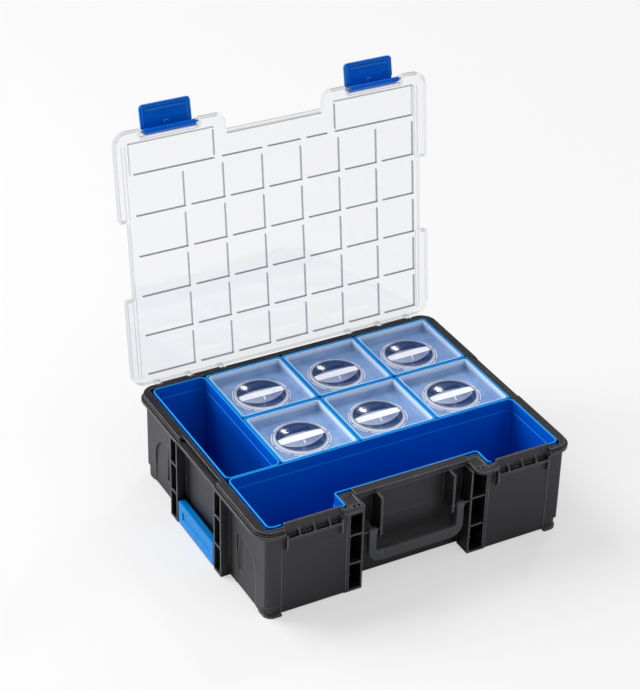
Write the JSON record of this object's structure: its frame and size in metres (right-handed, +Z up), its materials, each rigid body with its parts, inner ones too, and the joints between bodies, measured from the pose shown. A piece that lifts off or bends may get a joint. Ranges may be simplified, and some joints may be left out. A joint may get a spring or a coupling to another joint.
{
  "type": "assortment case",
  "caption": "Low moulded case with a clear hinged lid, snap latches, a carry handle and lift-out bins, some closed by trays with a twist knob.",
  "frame": {"origin": "centre of the base's flat underside, on the surface it stands on", "axes": "+Z up, -Y towards the handle at the front, +X to the right seen from the front"},
  "size_m": [0.4364, 0.4188, 0.4876],
  "materials": {
    "case_body": "fine moulded grain",
    "lid_clear": "clear polycarbonate",
    "pin_steel": "drawn wire",
    "handle_body": "fine moulded grain",
    "grip_soft": "soft-touch",
    "latch_blue": "smooth moulded",
    "bin_blue": "smooth moulded",
    "tray_frosted": "frosted translucent",
    "knob_clear": "glossy translucent",
    "knob_ring": "moulded"
  },
  "bodies": {
    "base": {"base_tub": "case_body", "hinge_pin_left": "pin_steel", "hinge_pin_right": "pin_steel", "handle_pin_left": "handle_body", "handle_pin_right": "handle_body", "clip_pin_left": "pin_steel", "clip_pin_right": "pin_steel"},
    "lid": {"lid_cover": "lid_clear", "latch_pin_left": "pin_steel", "latch_pin_right": "pin_steel"},
    "latch_left_body": {"latch_left": "latch_blue"},
    "latch_right_body": {"latch_right": "latch_blue"},
    "handle": {"handle_bail": "handle_body", "handle_grip": "grip_soft"},
    "clip_left_body": {"side_clip_left": "latch_blue"},
    "clip_right_body": {"side_clip_right": "latch_blue"},
    "bin_left_body": {"bin_left": "bin_blue"},
    "bin_front_body": {"bin_front": "bin_blue"},
    "box_rear_left_body": {"box_rear_left": "bin_blue"},
    "tray_rear_left_body": {"tray_rear_left": "tray_frosted"},
    "knob_rear_left_body": {"knob_rear_left": "knob_clear", "retainer_rear_left": "knob_ring"},
    "box_rear_centre_body": {"box_rear_centre": "bin_blue"},
    "tray_rear_centre_body": {"tray_rear_centre": "tray_frosted"},
    "knob_rear_centre_body": {"knob_rear_centre": "knob_clear", "retainer_rear_centre": "knob_ring"},
    "box_rear_right_body": {"box_rear_right": "bin_blue"},
    "tray_rear_right_body": {"tray_rear_right": "tray_frosted"},
    "knob_rear_right_body": {"knob_rear_right": "knob_clear", "retainer_rear_right": "knob_ring"},
    "box_middle_left_body": {"box_middle_left": "bin_blue"},
    "tray_middle_left_body": {"tray_middle_left": "tray_frosted"},
    "knob_middle_left_body": {"knob_middle_left": "knob_clear", "retainer_middle_left": "knob_ring"},
    "box_middle_centre_body": {"box_middle_centre": "bin_blue"},
    "tray_middle_centre_body": {"tray_middle_centre": "tray_frosted"},
    "knob_middle_centre_body": {"knob_middle_centre": "knob_clear", "retainer_middle_centre": "knob_ring"},
    "box_middle_right_body": {"box_middle_right": "bin_blue"},
    "tray_middle_right_body": {"tray_middle_right": "tray_frosted"},
    "knob_middle_right_body": {"knob_middle_right": "knob_clear", "retainer_middle_right": "knob_ring"}
  },
  "joints": [
    {"name": "lid_hinge", "type": "hinge", "parent": "base", "child": "lid", "pos_m": [0, 0.1775, 0.124], "axis": [-1, 0, 0], "range_deg": [-96.27, 0]},
    {"name": "latch_left_hinge", "type": "hinge", "parent": "lid", "child": "latch_left_body", "pos_m": [-0.143, 0.22076, 0.46099], "axis": [-1, 0, 0], "range_deg": [-95.1, 0]},
    {"name": "latch_right_hinge", "type": "hinge", "parent": "lid", "child": "latch_right_body", "pos_m": [0.143, 0.22076, 0.46099], "axis": [-1, 0, 0], "range_deg": [-95.1, 0]},
    {"name": "handle_swing", "type": "hinge", "parent": "base", "child": "handle", "pos_m": [0, -0.1625, 0.0785], "axis": [-1, 0, 0], "range_deg": [0, 95]},
    {"name": "clip_left_swing", "type": "hinge", "parent": "base", "child": "clip_left_body", "pos_m": [-0.2126, 0, 0.028], "axis": [0, 1, 0], "range_deg": [0, 15], "stiffness_Nm_per_rad": 0.3, "springref_deg": -2.86},
    {"name": "clip_right_swing", "type": "hinge", "parent": "base", "child": "clip_right_body", "pos_m": [0.2126, 0, 0.028], "axis": [0, -1, 0], "range_deg": [0, 15], "stiffness_Nm_per_rad": 0.3, "springref_deg": -2.86},
    {"name": "bin_left_lift", "type": "slide", "parent": "base", "child": "bin_left_body", "axis": [0, 0, 1], "range_m": [0, 0.13]},
    {"name": "bin_front_lift", "type": "slide", "parent": "base", "child": "bin_front_body", "axis": [0, 0, 1], "range_m": [0, 0.13]},
    {"name": "box_rear_left_lift", "type": "slide", "parent": "base", "child": "box_rear_left_body", "axis": [0, 0, 1], "range_m": [0, 0.13]},
    {"name": "tray_rear_left_lift", "type": "slide", "parent": "box_rear_left_body", "child": "tray_rear_left_body", "axis": [0, 0, 1], "range_m": [0, 0.025]},
    {"name": "knob_rear_left_turn", "type": "hinge", "parent": "tray_rear_left_body", "child": "knob_rear_left_body", "pos_m": [-0.0718, 0.109, 0.1153], "axis": [0, 0, 1], "range_deg": [0, 90]},
    {"name": "box_rear_centre_lift", "type": "slide", "parent": "base", "child": "box_rear_centre_body", "axis": [0, 0, 1], "range_m": [0, 0.13]},
    {"name": "tray_rear_centre_lift", "type": "slide", "parent": "box_rear_centre_body", "child": "tray_rear_centre_body", "axis": [0, 0, 1], "range_m": [0, 0.025]},
    {"name": "knob_rear_centre_turn", "type": "hinge", "parent": "tray_rear_centre_body", "child": "knob_rear_centre_body", "pos_m": [0.0372, 0.109, 0.1153], "axis": [0, 0, 1], "range_deg": [0, 90]},
    {"name": "box_rear_right_lift", "type": "slide", "parent": "base", "child": "box_rear_right_body", "axis": [0, 0, 1], "range_m": [0, 0.13]},
    {"name": "tray_rear_right_lift", "type": "slide", "parent": "box_rear_right_body", "child": "tray_rear_right_body", "axis": [0, 0, 1], "range_m": [0, 0.025]},
    {"name": "knob_rear_right_turn", "type": "hinge", "parent": "tray_rear_right_body", "child": "knob_rear_right_body", "pos_m": [0.1462, 0.109, 0.1153], "axis": [0, 0, 1], "range_deg": [0, 90]},
    {"name": "box_middle_left_lift", "type": "slide", "parent": "base", "child": "box_middle_left_body", "axis": [0, 0, 1], "range_m": [0, 0.13]},
    {"name": "tray_middle_left_lift", "type": "slide", "parent": "box_middle_left_body", "child": "tray_middle_left_body", "axis": [0, 0, 1], "range_m": [0, 0.025]},
    {"name": "knob_middle_left_turn", "type": "hinge", "parent": "tray_middle_left_body", "child": "knob_middle_left_body", "pos_m": [-0.0718, 0, 0.1153], "axis": [0, 0, 1], "range_deg": [0, 90]},
    {"name": "box_middle_centre_lift", "type": "slide", "parent": "base", "child": "box_middle_centre_body", "axis": [0, 0, 1], "range_m": [0, 0.13]},
    {"name": "tray_middle_centre_lift", "type": "slide", "parent": "box_middle_centre_body", "child": "tray_middle_centre_body", "axis": [0, 0, 1], "range_m": [0, 0.025]},
    {"name": "knob_middle_centre_turn", "type": "hinge", "parent": "tray_middle_centre_body", "child": "knob_middle_centre_body", "pos_m": [0.0372, 0, 0.1153], "axis": [0, 0, 1], "range_deg": [0, 90]},
    {"name": "box_middle_right_lift", "type": "slide", "parent": "base", "child": "box_middle_right_body", "axis": [0, 0, 1], "range_m": [0, 0.13]},
    {"name": "tray_middle_right_lift", "type": "slide", "parent": "box_middle_right_body", "child": "tray_middle_right_body", "axis": [0, 0, 1], "range_m": [0, 0.025]},
    {"name": "knob_middle_right_turn", "type": "hinge", "parent": "tray_middle_right_body", "child": "knob_middle_right_body", "pos_m": [0.1462, 0, 0.1153], "axis": [0, 0, 1], "range_deg": [0, 90]}
  ]
}
